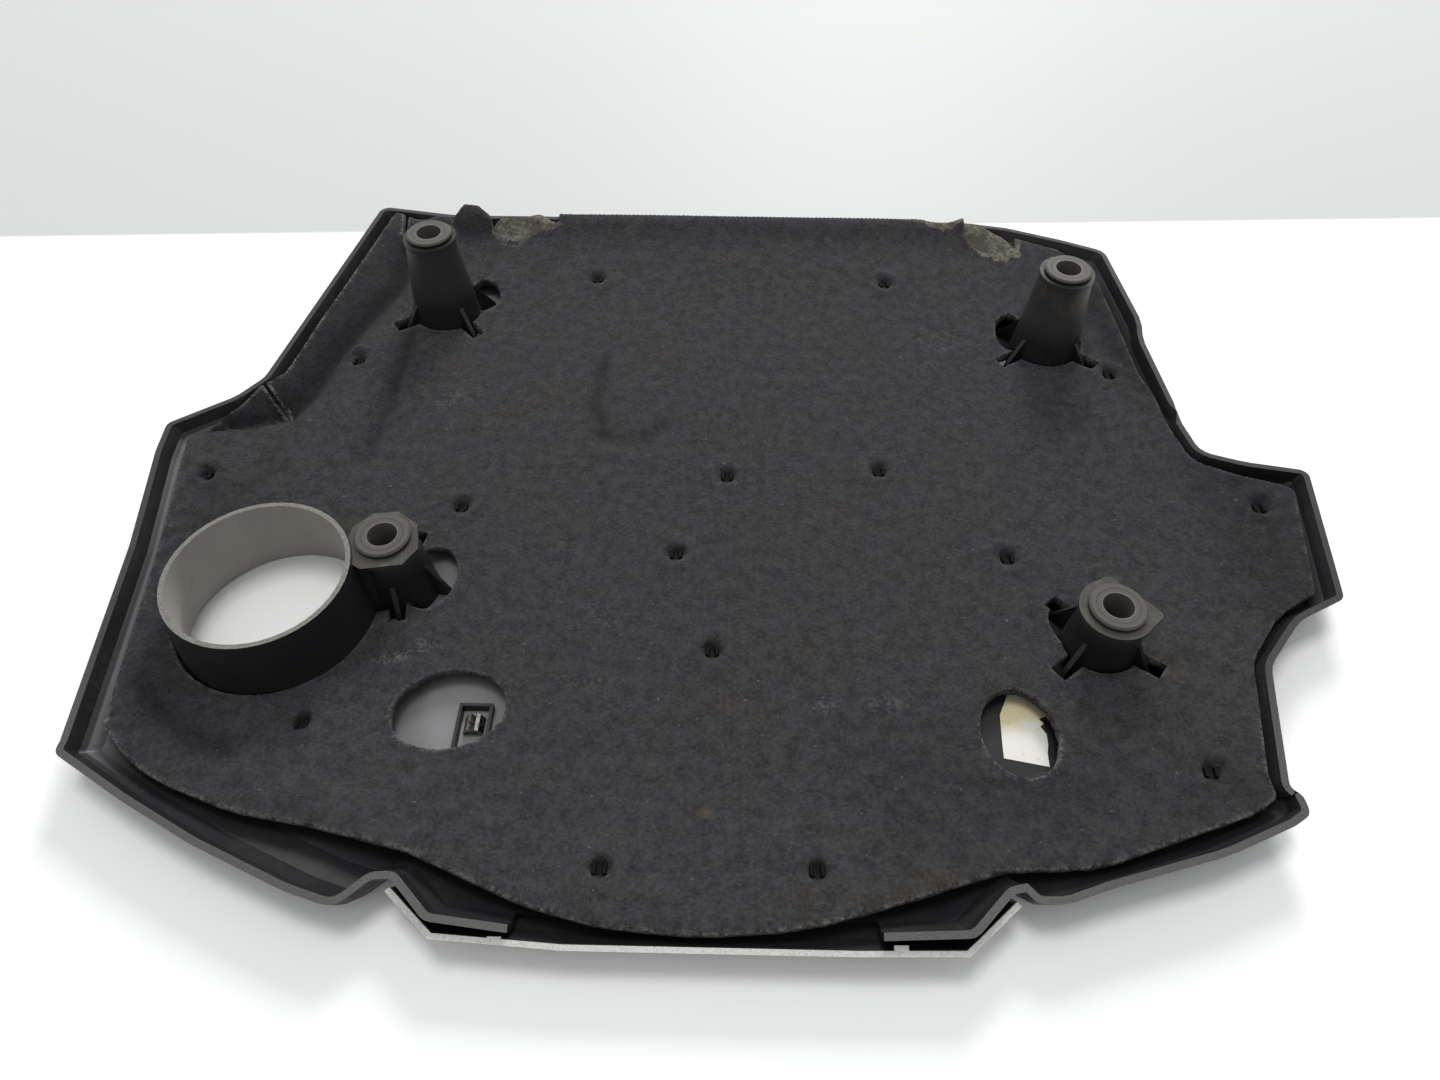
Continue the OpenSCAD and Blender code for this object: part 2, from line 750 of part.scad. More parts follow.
module paper_label() {
    color("#d9d4bd")
        translate([0, 0, floor_t])
            linear_extrude(height = label_t)
                polygon(label_points);
}

cover_shell();
front_trim();
insulation_mat();
grommet_rear_left();
grommet_rear_right();
grommet_front_left();
grommet_front_right();
spring_clip();
paper_label();
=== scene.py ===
import math
import random

import bpy
from mathutils import Matrix, Vector, geometry, kdtree, noise
from mathutils.bvhtree import BVHTree


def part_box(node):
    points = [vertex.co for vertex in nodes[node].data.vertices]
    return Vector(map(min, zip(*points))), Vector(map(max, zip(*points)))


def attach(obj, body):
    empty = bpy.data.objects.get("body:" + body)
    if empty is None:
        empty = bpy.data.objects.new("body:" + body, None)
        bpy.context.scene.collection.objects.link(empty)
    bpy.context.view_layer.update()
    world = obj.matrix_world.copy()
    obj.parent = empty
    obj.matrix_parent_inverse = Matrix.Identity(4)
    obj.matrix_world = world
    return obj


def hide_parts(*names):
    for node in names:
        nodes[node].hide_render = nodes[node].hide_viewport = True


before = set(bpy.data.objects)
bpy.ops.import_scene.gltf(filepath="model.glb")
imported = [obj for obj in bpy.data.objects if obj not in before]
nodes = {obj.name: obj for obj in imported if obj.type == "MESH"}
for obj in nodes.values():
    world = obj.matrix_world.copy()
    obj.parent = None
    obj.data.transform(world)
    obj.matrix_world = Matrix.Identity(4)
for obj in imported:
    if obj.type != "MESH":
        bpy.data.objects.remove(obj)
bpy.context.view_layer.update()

scene = bpy.context.scene
mm = 0.001

# camera: fitted to the five level circles of the photo, whose frame is 1440 x 1080
camera = {
    "place": (1.53, -348.53, 390.0),  # mm
    "pitch": 50.38,  # degrees below the horizon
    "turn": 0.8,
    "roll": 0.43,
    "focalPixels": 1000.0,
    "imageWidth": 1440.0,
    "sensorWidth": 36.0,  # mm
    "sees": (0.01, 50.0),  # nearest and farthest, in metres
}


def placeCamera(settings):
    data = bpy.data.cameras.new("photoCamera")
    data.sensor_width = settings["sensorWidth"]
    data.lens = settings["focalPixels"] * data.sensor_width / settings["imageWidth"]
    data.clip_start, data.clip_end = settings["sees"]
    viewer = bpy.data.objects.new("photoCamera", data)
    scene.collection.objects.link(viewer)
    turn = Matrix.Rotation(math.radians(settings["turn"]), 3, "Z")
    tilt = Matrix.Rotation(math.radians(90.0 - settings["pitch"]), 3, "X")
    roll = Matrix.Rotation(math.radians(settings["roll"]), 3, "Z")
    viewer.rotation_euler = (turn @ tilt @ roll).to_euler()
    viewer.location = Vector(settings["place"]) * mm
    scene.camera = viewer


placeCamera(camera)
print("camera in place")


# small helpers for shader nodes
def startMaterial(name):
    material = bpy.data.materials.new(name)
    material.use_nodes = True
    material.node_tree.nodes.clear()
    return material, material.node_tree


def put(tree, kind, **values):
    node = tree.nodes.new("ShaderNode" + kind)
    for key, value in values.items():
        setattr(node, key, value)
    return node


def feed(tree, value, socket):
    if isinstance(value, bpy.types.NodeSocket):
        tree.links.new(value, socket)
    elif value is not None:
        socket.default_value = value


def calc(tree, operation, a, b=None, c=None, clamp=False):
    node = put(tree, "Math", operation=operation, use_clamp=clamp)
    for value, socket in zip((a, b, c), node.inputs):
        feed(tree, value, socket)
    return node.outputs[0]


def times(tree, a, b, clamp=False):
    return calc(tree, "MULTIPLY", a, b, clamp=clamp)


def plus(tree, a, b, clamp=False):
    return calc(tree, "ADD", a, b, clamp=clamp)


def minus(tree, a, b):
    return calc(tree, "SUBTRACT", a, b)


def larger(tree, a, b):
    return calc(tree, "MAXIMUM", a, b)


def fade(tree, value, low, high, flip=False):
    # 0 below low, 1 above high, smooth between
    node = put(tree, "MapRange", interpolation_type="SMOOTHSTEP")
    feed(tree, value, node.inputs["Value"])
    node.inputs["From Min"].default_value = low
    node.inputs["From Max"].default_value = high
    node.inputs["To Min"].default_value = 1.0 if flip else 0.0
    node.inputs["To Max"].default_value = 0.0 if flip else 1.0
    return node.outputs["Result"]


def fadeAt(tree, value, limits, flip=False):
    # the same between two places in mm
    return fade(tree, value, limits[0] * mm, limits[1] * mm, flip)


def blendColour(tree, share, first, second):
    node = put(tree, "Mix", data_type="RGBA", blend_type="MIX", clamp_factor=True)
    feed(tree, share, node.inputs["Factor"])
    for value, socket in ((first, node.inputs[6]), (second, node.inputs[7])):
        feed(tree, (*value, 1.0) if isinstance(value, tuple) else value, socket)
    return node.outputs[2]


def blotches(tree, coords, scale, detail=3.0, rough=0.55, stretch=None, turn=0.0):
    if stretch:
        mapping = put(tree, "Mapping")
        feed(tree, coords, mapping.inputs["Vector"])
        mapping.inputs["Scale"].default_value = stretch
        mapping.inputs["Rotation"].default_value = (0.0, 0.0, turn)
        coords = mapping.outputs[0]
    node = put(tree, "TexNoise")
    feed(tree, coords, node.inputs["Vector"])
    feed(tree, scale, node.inputs["Scale"])
    node.inputs["Detail"].default_value = detail
    node.inputs["Roughness"].default_value = rough
    return node.outputs[0]


def scaled(tree, colour, factor):
    node = put(tree, "VectorMath", operation="SCALE")
    feed(tree, colour, node.inputs[0])
    feed(tree, factor, node.inputs["Scale"])
    return node.outputs[0]


def startGroup(name, inputs, outputs):
    group = bpy.data.node_groups.new(name, "ShaderNodeTree")
    for label, kind, value in inputs:
        socket = group.interface.new_socket(
            name=label, in_out="INPUT", socket_type="NodeSocket" + kind)
        if value is not None:
            socket.default_value = value
    for label, kind in outputs:
        group.interface.new_socket(
            name=label, in_out="OUTPUT", socket_type="NodeSocket" + kind)
    given = group.nodes.new("NodeGroupInput").outputs
    out = group.nodes.new("NodeGroupOutput").inputs
    return group, given, out


def useGroup(tree, group, coords, **values):
    node = put(tree, "Group", node_tree=group)
    feed(tree, coords, node.inputs["Coords"])
    for key, value in values.items():
        feed(tree, value, node.inputs[key])
    return node.outputs


def finishMaterial(tree, colour, roughness, height=None, bump=(0.3, 0.2), **constants):
    # bump is the strength and the distance in mm, constants are the shader's own sockets
    shader = put(tree, "BsdfPrincipled")
    feed(tree, (*colour, 1.0) if isinstance(colour, tuple) else colour, shader.inputs["Base Color"])
    feed(tree, roughness, shader.inputs["Roughness"])
    for key, value in constants.items():
        shader.inputs[key.replace("_", " ")].default_value = value
    if height is not None:
        relief = put(tree, "Bump")
        relief.inputs["Strength"].default_value = bump[0]
        relief.inputs["Distance"].default_value = bump[1] * mm
        feed(tree, height, relief.inputs["Height"])
        feed(tree, relief.outputs[0], shader.inputs["Normal"])
    output = put(tree, "OutputMaterial")
    feed(tree, shader.outputs[0], output.inputs["Surface"])


# effects that several materials share
grainLook = {
    "wide": 22.0,  # scale of the drifts of dust
    "fine": 420.0,
    "speckle": 1500.0,
}
fibreLook = {
    "turns": (0.3, 1.35, 2.3),  # the fibres lie in three rough directions
    "stretch": (1.0, 4.0, 1.0),
    "fuzz": 1300.0,
    "pressed": 110.0,
    "mottle": 26.0,
    "clumps": 150.0,
    "grain": 620.0,
    "specks": 520.0,
}


def makeMouldedGrain(look):
    group, given, out = startGroup(
        "mouldedGrain",
        [("Coords", "Vector", None), ("Scale", "Float", 900.0), ("Dust", "Float", 0.3)],
        [("Height", "Float"), ("Dust", "Float"), ("Speckle", "Float")])
    coords = given["Coords"]
    grain = blotches(group, coords, given["Scale"], 2.0, 0.6)
    wide = blotches(group, coords, look["wide"], 5.0, 0.62)
    fine = blotches(group, coords, look["fine"], 3.0, 0.7)
    speckle = blotches(group, coords, look["speckle"], 2.0, 0.8)
    dust = times(group, fade(group, wide, 0.4, 0.72), given["Dust"])
    feed(group, grain, out["Height"])
    feed(group, times(group, dust, fade(group, fine, 0.3, 0.75)), out["Dust"])
    feed(group, fade(group, speckle, 0.4, 0.68), out["Speckle"])
    return group


def makeFeltFibre(look):
    group, given, out = startGroup(
        "feltFibre",
        [("Coords", "Vector", None), ("Scale", "Float", 260.0)],
        [("Height", "Float"), ("Fibre", "Float"), ("Mottle", "Float"),
         ("Tone", "Float"), ("Speck", "Float")])
    coords = given["Coords"]
    strands = None
    for turn in look["turns"]:
        strand = blotches(group, coords, given["Scale"], 2.5, 0.65, look["stretch"], turn)
        strand = fade(group, strand, 0.52, 0.76)
        strands = strand if strands is None else larger(group, strands, strand)
    fuzz = blotches(group, coords, look["fuzz"], 3.0, 0.75)
    pressed = blotches(group, coords, look["pressed"], 4.0, 0.6)
    height = plus(group, times(group, strands, 0.6), fuzz)
    feed(group, plus(group, height, times(group, pressed, 1.4)), out["Height"])
    feed(group, strands, out["Fibre"])
    feed(group, blotches(group, coords, look["mottle"], 6.0, 0.62), out["Mottle"])
    clumps = fade(group, blotches(group, coords, look["clumps"], 4.0, 0.7), 0.3, 0.7)
    grain = fade(group, blotches(group, coords, look["grain"], 3.0, 0.75), 0.3, 0.72)
    tone = plus(group, times(group, clumps, 0.46), times(group, grain, 0.5))
    feed(group, plus(group, tone, 0.52), out["Tone"])
    speck = blotches(group, coords, look["specks"], 1.0, 0.5)
    feed(group, fade(group, speck, 0.76, 0.8), out["Speck"])
    return group


mouldedGrain = makeMouldedGrain(grainLook)
feltFibre = makeFeltFibre(fibreLook)
print("shared effects ready")


def partsOf(tree):
    # object coordinates, in metres, with x, y, z and the upward share of the normal
    coords = put(tree, "TexCoord").outputs["Object"]
    split = put(tree, "SeparateXYZ")
    feed(tree, coords, split.inputs[0])
    normal = put(tree, "SeparateXYZ")
    feed(tree, put(tree, "NewGeometry").outputs["Normal"], normal.inputs[0])
    return coords, split.outputs[0], split.outputs[1], split.outputs[2], normal.outputs[2]


def distanceFrom(tree, x, y, place):
    dx = minus(tree, x, place[0] * mm)
    dy = minus(tree, y, place[1] * mm)
    return calc(tree, "SQRT", plus(tree, times(tree, dx, dx), times(tree, dy, dy)))


# places of the pairs of prongs on the shell, where the felt is drawn in
prongPlaces = (
    (-266, -3), (-212, 91), (-83, 171.5), (95, 171), (0, 7), (79, 12.5), (-24, -45), (-133.5, -17),
    (136.5, -44), (-5, -100.5), (-178, -142), (-45.5, -203), (37.5, -202), (200, -157.5),
    (266, -12.5), (214, 86))


# moulded shell; heights, places and distances are in mm
shellLook = {
    "grain": 1100.0,
    "dust": 0.9,
    "roughness": (0.36, 0.35, 0.25),  # plain, what dust adds, what rubbing adds
    "bump": (0.25, 0.12),
    "specular": 0.24,
    "black": (0.018, 0.0178, 0.0205),
    "bossWall": (0.05, 0.048, 0.049),
    "pin": (0.006, 0.006, 0.007),
    "dirt": (0.036, 0.03, 0.023),
    "bossDirt": (0.085, 0.074, 0.056),
    "bossTop": (0.1, 0.094, 0.08),
    "underMat": (0.23, 0.23, 0.235),
    "underMatDull": (0.16, 0.16, 0.163),
    "ledge": (0.12, 0.12, 0.128),
    # painted light: the collar's bore is pale grey partly for its dusty grey plastic and partly
    # standing in for the light that the white table throws up into it
    "collarInsideDustAndLight": (0.43, 0.414, 0.378),
    "collarSmearDustAndLight": (0.31, 0.297, 0.268),
    "collarLip": (0.22, 0.212, 0.19),
    "noseLip": (0.1, 0.1, 0.095),
    "frontLip": (0.088, 0.089, 0.084),
    "sideLip": (0.045, 0.048, 0.043),
    "decorFace": (0.05, 0.05, 0.053),
    "collar": (-205.5, -84.0),
    "collarClear": (47, 50),  # from the collar's middle: a wall beyond this is a boss's
    "collarTop": (42.6, 42.9),
    "collarLipReach": (40.8, 41.2),
    "boreRadius": 38.3,
    "boreWall": (0.4, 0.8),
    "boreEnd": 25.0,  # the bore is straight above this height and flares below it
    "boreFlare": 0.22,
    "wallHeights": (22.3, 40),
    "grimeHeights": (24, 42),
    "grimeSide": (0, 50),  # more grime on the right, paler tops at the front
    "topHeights": (27, 29),
    "floorHeights": (3.6, 4.2),
    "floorEnd": (-60, -40),
    "ledgeHeights": (14.2, 15),
    "ledgeEnd": (-268, -238),
    "rimTop": (21.5, 21.9),
    "rimEnd": (22.1, 22.3),
    "frontFrom": (-160, -90),
    "noseWidth": (135, 150),
    "noseFrom": (-170, -160),
    "pinHeight": 19,
    "pinReach": (7, 9),
}


def paintBosses(tree, parts, look, away, colour):
    coords, x, y, z, up = parts
    boss = fadeAt(tree, away, look["collarClear"])
    wall = times(tree, fadeAt(tree, z, look["wallHeights"]), boss)
    colour = blendColour(tree, wall, colour, look["bossWall"])
    streaks = fade(tree, blotches(tree, coords, 70.0, 6.0, 0.72, (1.0, 1.0, 0.4)), 0.46, 0.68)
    grime = times(tree, fadeAt(tree, z, look["grimeHeights"]), boss)
    more = plus(tree, 0.45, fadeAt(tree, x, look["grimeSide"]))
    grime = times(tree, grime, more, clamp=True)
    colour = blendColour(tree, times(tree, grime, streaks), colour, look["bossDirt"])
    top = times(tree, fadeAt(tree, z, look["topHeights"]), fade(tree, up, 0.5, 0.9))
    rubbed = scaled(tree, look["bossTop"], plus(tree, 0.6, times(tree, streaks, 0.6)))
    paler = plus(tree, 0.35, fadeAt(tree, y, look["grimeSide"], flip=True), clamp=True)
    return blendColour(tree, top, colour, scaled(tree, rubbed, paler))


def paintFloor(tree, parts, look, colour):
    # pale skin that shows through the windows, and the ledge along the left
    coords, x, y, z, up = parts
    low = times(tree, fadeAt(tree, z, look["floorHeights"], flip=True), fade(tree, up, 0.8, 0.95))
    low = times(tree, low, fadeAt(tree, x, look["floorEnd"], flip=True))
    smooth = fade(tree, blotches(tree, coords, 24.0, 3.0, 0.5, (1.0, 0.3, 1.0)), 0.42, 0.6)
    skin = blendColour(tree, smooth, look["underMat"], look["underMatDull"])
    colour = blendColour(tree, low, colour, skin)
    ledge = times(tree, fadeAt(tree, z, look["ledgeHeights"], flip=True), fade(tree, up, 0.5, 0.7))
    ledge = times(tree, ledge, fadeAt(tree, x, look["ledgeEnd"], flip=True))
    return blendColour(tree, ledge, colour, look["ledge"])


def paintCollar(tree, parts, look, away, colour):
    coords, x, y, z, up = parts
    below = larger(tree, minus(tree, look["boreEnd"] * mm, z), 0.0)
    flare = times(tree, below, look["boreFlare"])
    within = minus(tree, minus(tree, away, flare), look["boreRadius"] * mm)
    inside = fadeAt(tree, within, look["boreWall"], flip=True)
    # painted light: the bore's pale tones are partly dusty plastic and partly stand in for the
    # light thrown up from the table
    smear = blotches(tree, coords, 60.0, 4.0, 0.6, (1, 1, 0.25))
    dusty = blendColour(tree, smear, look["collarInsideDustAndLight"], look["collarSmearDustAndLight"])
    return inside, blendColour(tree, inside, colour, dusty)


def paintLips(tree, parts, look, away, speckle, colour):
    coords, x, y, z, up = parts
    flat = fade(tree, up, 0.7, 0.9)
    collarLip = times(tree, fadeAt(tree, away, look["collarLipReach"], flip=True),
                      fadeAt(tree, z, look["collarTop"]))
    rimLip = times(tree, fadeAt(tree, z, look["rimTop"]),
                   fadeAt(tree, z, look["rimEnd"], flip=True))
    front = fadeAt(tree, y, look["frontFrom"], flip=True)
    rimTone = blendColour(tree, front, look["sideLip"], look["frontLip"])
    nose = times(tree, fadeAt(tree, calc(tree, "ABSOLUTE", x), look["noseWidth"], flip=True),
                 fadeAt(tree, y, look["noseFrom"], flip=True))
    rimTone = blendColour(tree, nose, rimTone, look["noseLip"])
    worn = minus(tree, 1.15, times(tree, speckle, 0.55))
    for mask, tone in ((collarLip, look["collarLip"]), (rimLip, rimTone)):
        colour = blendColour(tree, times(tree, mask, flat), colour, scaled(tree, tone, worn))
    return times(tree, larger(tree, collarLip, rimLip), flat), colour


def nearProngs(tree, coords, look):
    nearest = 1.0
    for x, y in prongPlaces:
        prong = put(tree, "VectorMath", operation="DISTANCE")
        feed(tree, coords, prong.inputs[0])
        prong.inputs[1].default_value = (x * mm, y * mm, look["pinHeight"] * mm)
        nearest = calc(tree, "MINIMUM", prong.outputs["Value"], nearest)
    return fadeAt(tree, nearest, look["pinReach"], flip=True)


def makeShellPlastic(look):
    material, tree = startMaterial("shellPlastic")
    parts = partsOf(tree)
    coords, x, y, z, up = parts
    grain = useGroup(tree, mouldedGrain, coords, Scale=look["grain"], Dust=look["dust"])
    away = distanceFrom(tree, x, y, look["collar"])
    colour = blendColour(tree, grain["Dust"], look["black"], look["dirt"])
    colour = paintBosses(tree, parts, look, away, colour)
    colour = paintFloor(tree, parts, look, colour)
    inside, colour = paintCollar(tree, parts, look, away, colour)
    lip, colour = paintLips(tree, parts, look, away, grain["Speckle"], colour)
    below = times(tree, fade(tree, up, -0.25, -0.1, flip=True), minus(tree, 1.0, inside))
    colour = blendColour(tree, below, colour, look["decorFace"])
    pinned = nearProngs(tree, coords, look)
    colour = blendColour(tree, pinned, colour, look["pin"])
    plain, dusty, rubbed = look["roughness"]
    rough = plus(tree, plain, times(tree, grain["Dust"], dusty))
    rough = plus(tree, rough, times(tree, larger(tree, inside, lip), rubbed))
    rough = larger(tree, rough, pinned)
    finishMaterial(tree, colour, rough, grain["Height"], look["bump"],
                   Specular_IOR_Level=look["specular"])
    return material


# silver trim
trimLook = {
    "grain": 1400.0,
    "dust": 0.5,
    "silver": (0.56, 0.56, 0.53),
    "inside": (0.02, 0.02, 0.022),
    "dull": (0.36, 0.355, 0.33),
    "bareHeights": (18.2, 18.6),  # mm; the upward faces below this are unpainted
    "roughness": 0.38,
    "bump": (0.15, 0.08),
}


def makeTrimSilver(look):
    material, tree = startMaterial("trimSilver")
    coords, x, y, z, up = partsOf(tree)
    grain = useGroup(tree, mouldedGrain, coords, Scale=look["grain"], Dust=look["dust"])
    paint = blendColour(tree, grain["Speckle"], look["silver"], look["dull"])
    bare = times(tree, fade(tree, up, 0.0, 0.2), fadeAt(tree, z, look["bareHeights"], flip=True))
    colour = blendColour(tree, bare, paint, look["inside"])
    finishMaterial(tree, colour, look["roughness"], grain["Height"], look["bump"])
    return material


# rubber grommets
rubberLook = {
    "grain": 700.0,
    "dustShare": 1.0,
    "rubber": (0.085, 0.081, 0.073),
    "dust": (0.15, 0.138, 0.115),
    "black": (0.016, 0.016, 0.016),
    "bore": (0.15, 0.14, 0.125),
    "centres": ((-170.5, 140.0), (183.5, 115.5), (-155.0, -62.0), (170.5, -91.5)),
    "boreReach": (7.1, 7.4),
    "groove": ((8.75, 9.0), (9.7, 9.95)),  # radii of the dark ring round the face, painted shade of the groove there
    "grooveShare": 0.4,
    "wallShare": 0.75,
    "roughness": 0.6,
    "bump": (0.3, 0.15),
    "specular": 0.3,
}


def makeRubber(look):
    material, tree = startMaterial("grommetRubber")
    coords, x, y, z, up = partsOf(tree)
    grain = useGroup(tree, mouldedGrain, coords, Scale=look["grain"], Dust=look["dustShare"])
    colour = blendColour(tree, grain["Dust"], look["rubber"], look["dust"])
    walls = times(tree, fade(tree, up, 0.4, 0.8, flip=True), look["wallShare"])
    colour = blendColour(tree, walls, colour, look["black"])
    near = 1.0
    for centre in look["centres"]:
        near = calc(tree, "MINIMUM", distanceFrom(tree, x, y, centre), near)
    bore = fadeAt(tree, near, look["boreReach"], flip=True)
    colour = blendColour(tree, bore, colour, look["bore"])
    inner, outer = look["groove"]
    # painted shade: a dark ring round the face where a groove lies
    groove = times(tree, fadeAt(tree, near, inner), fadeAt(tree, near, outer, flip=True))
    colour = blendColour(tree, times(tree, groove, look["grooveShare"]), colour, look["black"])
    finishMaterial(tree, colour, look["roughness"], grain["Height"], look["bump"],
                   Specular_IOR_Level=look["specular"])
    return material


# spring clip
clipLook = {
    "steel": (0.34, 0.33, 0.31),
    "tarnish": (0.09, 0.08, 0.065),
    "roughness": (0.25, 0.3),  # plain, what tarnish adds
    "bump": (0.1, 0.05),
}


def makeClipSteel(look):
    material, tree = startMaterial("clipSteel")
    coords = partsOf(tree)[0]
    stain = fade(tree, blotches(tree, coords, 350.0, 4.0), 0.42, 0.62)
    colour = blendColour(tree, stain, look["steel"], look["tarnish"])
    plain, tarnished = look["roughness"]
    rough = plus(tree, plain, times(tree, stain, tarnished))
    brushed = blotches(tree, coords, 900.0, 2.0, 0.6, (1, 12, 1))
    finishMaterial(tree, colour, rough, brushed, look["bump"], Metallic=1.0)
    return material


# paper label
paperLook = {
    "paper": (0.86, 0.845, 0.78),
    "yellowed": (0.78, 0.68, 0.42),
    "crease": (0.4, 0.38, 0.32),
    "oldStrip": (24, 14),  # mm below its upper edge, where the yellow begins and is full
    "creaseShare": 0.6,
    "roughness": 0.7,
    "bump": (0.4, 0.3),
}


def makePaper(look):
    material, tree = startMaterial("labelPaper")
    coords, x, y, z, up = partsOf(tree)
    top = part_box("paper_label")[1].y
    begins, full = look["oldStrip"]
    old = fade(tree, y, top - begins * mm, top - full * mm)
    patch = fade(tree, blotches(tree, coords, 110.0, 4.0), 0.3, 0.5)
    colour = blendColour(tree, times(tree, old, patch), look["paper"], look["yellowed"])
    rubbed = fade(tree, blotches(tree, coords, 330.0, 5.0, 0.7), 0.6, 0.72)
    colour = blendColour(tree, times(tree, rubbed, look["creaseShare"]), colour, look["crease"])
    crumpled = blotches(tree, coords, 260.0, 4.0)
    finishMaterial(tree, colour, look["roughness"], crumpled, look["bump"])
    return material


